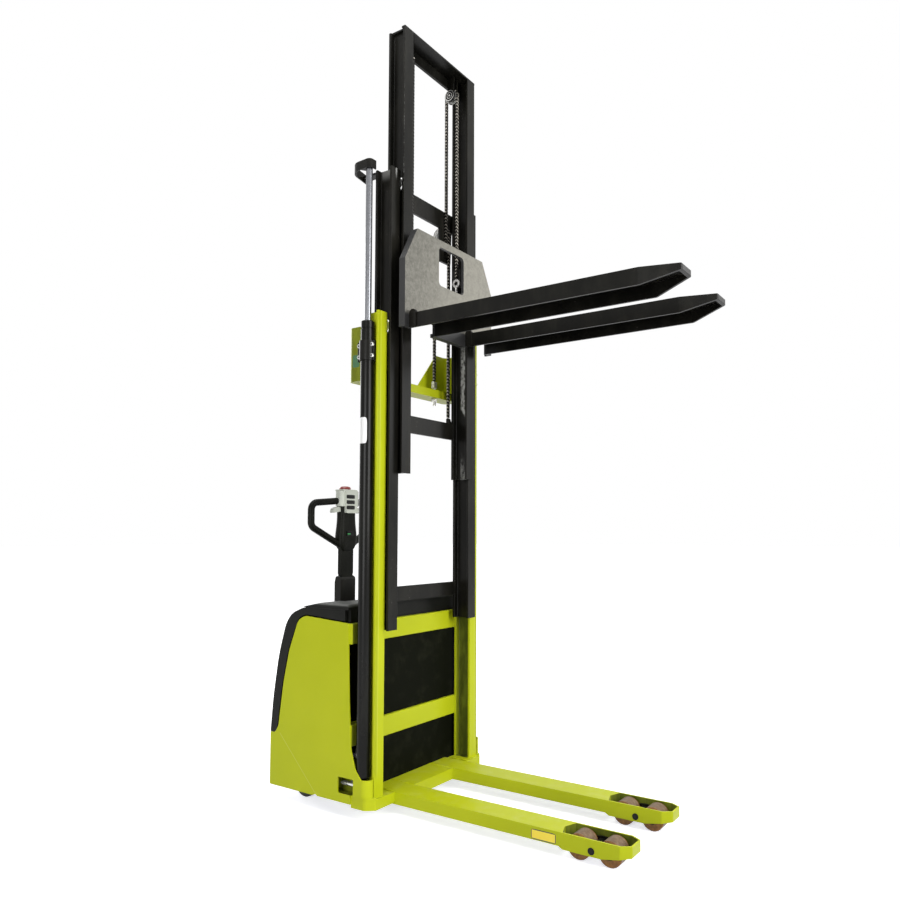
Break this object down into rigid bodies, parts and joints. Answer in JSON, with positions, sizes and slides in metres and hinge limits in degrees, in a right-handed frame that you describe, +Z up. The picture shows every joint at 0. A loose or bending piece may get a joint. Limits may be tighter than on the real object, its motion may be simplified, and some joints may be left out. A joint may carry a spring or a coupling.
{
  "type": "electric pallet stacker",
  "caption": "Walk-behind electric stacker with a three-stage telescopic mast, fork carriage, straddle support legs with tandem rollers and an upright steering tiller.",
  "frame": {"origin": "on the floor under the middle of the overall length and width", "axes": "+X forward along the forks, +Y to the left, +Z up"},
  "size_m": [1.825, 0.8016, 3.345],
  "materials": {
    "lime_paint": "satin paint",
    "black_paint": "satin paint",
    "chrome_rod": "polished",
    "worn_steel": "worn mottled steel",
    "chain_steel": "oiled steel",
    "roller_steel": "turned steel",
    "black_plastic": "grained",
    "grey_plastic": "moulded",
    "red_plastic": "moulded",
    "roller_urethane": "amber polyurethane",
    "wheel_rubber": "solid tyre",
    "white_plastic": "moulded"
  },
  "bodies": {
    "chassis": {"outer_mast_uprights": "lime_paint", "outer_mast_crossmember": "lime_paint", "outer_chain_anchors": "chain_steel", "chassis_crossbars": "lime_paint", "mast_guard_panels": "black_paint", "base_frame": "lime_paint", "support_legs": "lime_paint", "side_panels": "lime_paint", "corner_trims": "black_plastic", "rear_cover": "black_plastic", "top_cover": "black_plastic", "chassis_deck_plates": "lime_paint", "battery": "black_paint", "lift_cylinder_tubes": "black_paint", "cylinder_clamps": "black_paint", "roller_rockers": "black_paint", "outer_guide_rollers": "roller_steel", "lowering_valves": "roller_steel"},
    "mast_middle": {"middle_mast_uprights": "black_paint", "middle_mast_crossbars": "black_paint", "middle_chain_yokes": "black_paint", "lift_cylinder_rods": "chrome_rod", "rod_head_straps": "black_paint", "middle_guide_rollers": "roller_steel", "middle_chain_pulleys": "white_plastic", "middle_chain_wraps": "chain_steel", "outer_chain_strands": "chain_steel"},
    "mast_inner": {"inner_mast_uprights": "black_paint", "inner_mast_crossbars": "black_paint", "inner_guide_rollers": "roller_steel", "inner_pulley_hangers": "black_paint", "inner_chain_pulleys": "roller_steel", "inner_chain_wraps": "chain_steel", "inner_lift_strands": "chain_steel", "middle_lift_strands": "chain_steel"},
    "carriage": {"carriage_plate": "worn_steel", "carriage_roller_arms": "black_paint", "carriage_chain_eyes": "black_paint", "carriage_lift_strands": "chain_steel", "forks": "black_paint"},
    "drive_unit": {"drive_motor": "black_paint", "steering_column": "black_paint", "drive_yoke": "black_paint", "tiller_bracket": "black_paint"},
    "drive_wheel": {"drive_wheel": "wheel_rubber"},
    "tiller": {"tiller_arm": "black_plastic", "tiller_head": "black_plastic", "tiller_head_cap": "grey_plastic", "emergency_button": "red_plastic", "tiller_loops": "black_plastic", "thumb_levers": "grey_plastic"},
    "castor_fork_right": {"castor_fork_right": "black_paint"},
    "castor_wheel_right": {"castor_wheel_right": "wheel_rubber"},
    "load_roller_right_rear": {"load_roller_right_rear": "roller_urethane"},
    "load_roller_right_front": {"load_roller_right_front": "roller_urethane"},
    "castor_fork_left": {"castor_fork_left": "black_paint"},
    "castor_wheel_left": {"castor_wheel_left": "wheel_rubber"},
    "load_roller_left_rear": {"load_roller_left_rear": "roller_urethane"},
    "load_roller_left_front": {"load_roller_left_front": "roller_urethane"}
  },
  "joints": [
    {"name": "middle_lift", "type": "slide", "parent": "chassis", "child": "mast_middle", "axis": [0, 0, 1], "range_m": [-0.65, 0.7], "deforming": ["outer_chain_strands"]},
    {"name": "inner_lift", "type": "slide", "parent": "mast_middle", "child": "mast_inner", "axis": [0, 0, 1], "range_m": [-0.65, 0.7], "deforming": ["inner_lift_strands", "middle_lift_strands"]},
    {"name": "carriage_lift", "type": "slide", "parent": "mast_inner", "child": "carriage", "axis": [0, 0, 1], "range_m": [-0.65, 0.7], "deforming": ["carriage_lift_strands"]},
    {"name": "steering", "type": "hinge", "parent": "chassis", "child": "drive_unit", "pos_m": [-0.8005, 0, 0.64], "axis": [0, 0, 1], "range_deg": [-90, 90]},
    {"name": "drive_wheel_spin", "type": "hinge", "parent": "drive_unit", "child": "drive_wheel", "pos_m": [-0.8005, 0, 0.105], "axis": [0, 1, 0], "continuous": true},
    {"name": "tiller_tilt", "type": "hinge", "parent": "drive_unit", "child": "tiller", "pos_m": [-0.8655, 0, 0.88], "axis": [0, -1, 0], "range_deg": [0, 75], "stiffness_Nm_per_rad": 18, "springref_deg": -51.57},
    {"name": "castor_swivel_right", "type": "hinge", "parent": "chassis", "child": "castor_fork_right", "pos_m": [-0.7635, -0.288, 0.16], "axis": [0, 0, 1], "continuous": true},
    {"name": "castor_spin_right", "type": "hinge", "parent": "castor_fork_right", "child": "castor_wheel_right", "pos_m": [-0.7955, -0.288, 0.06], "axis": [0, 1, 0], "continuous": true},
    {"name": "load_roller_right_rear_spin", "type": "hinge", "parent": "chassis", "child": "load_roller_right_rear", "pos_m": [0.4975, -0.194, 0.045], "axis": [0, 1, 0], "continuous": true},
    {"name": "load_roller_right_front_spin", "type": "hinge", "parent": "chassis", "child": "load_roller_right_front", "pos_m": [0.6175, -0.194, 0.045], "axis": [0, 1, 0], "continuous": true},
    {"name": "castor_swivel_left", "type": "hinge", "parent": "chassis", "child": "castor_fork_left", "pos_m": [-0.7635, 0.288, 0.16], "axis": [0, 0, 1], "continuous": true},
    {"name": "castor_spin_left", "type": "hinge", "parent": "castor_fork_left", "child": "castor_wheel_left", "pos_m": [-0.7955, 0.288, 0.06], "axis": [0, 1, 0], "continuous": true},
    {"name": "load_roller_left_rear_spin", "type": "hinge", "parent": "chassis", "child": "load_roller_left_rear", "pos_m": [0.4975, 0.194, 0.045], "axis": [0, 1, 0], "continuous": true},
    {"name": "load_roller_left_front_spin", "type": "hinge", "parent": "chassis", "child": "load_roller_left_front", "pos_m": [0.6175, 0.194, 0.045], "axis": [0, 1, 0], "continuous": true}
  ],
  "couplings": [
    {"joint": "inner_lift", "follows": "middle_lift", "ratio": 1},
    {"joint": "carriage_lift", "follows": "middle_lift", "ratio": 1}
  ]
}
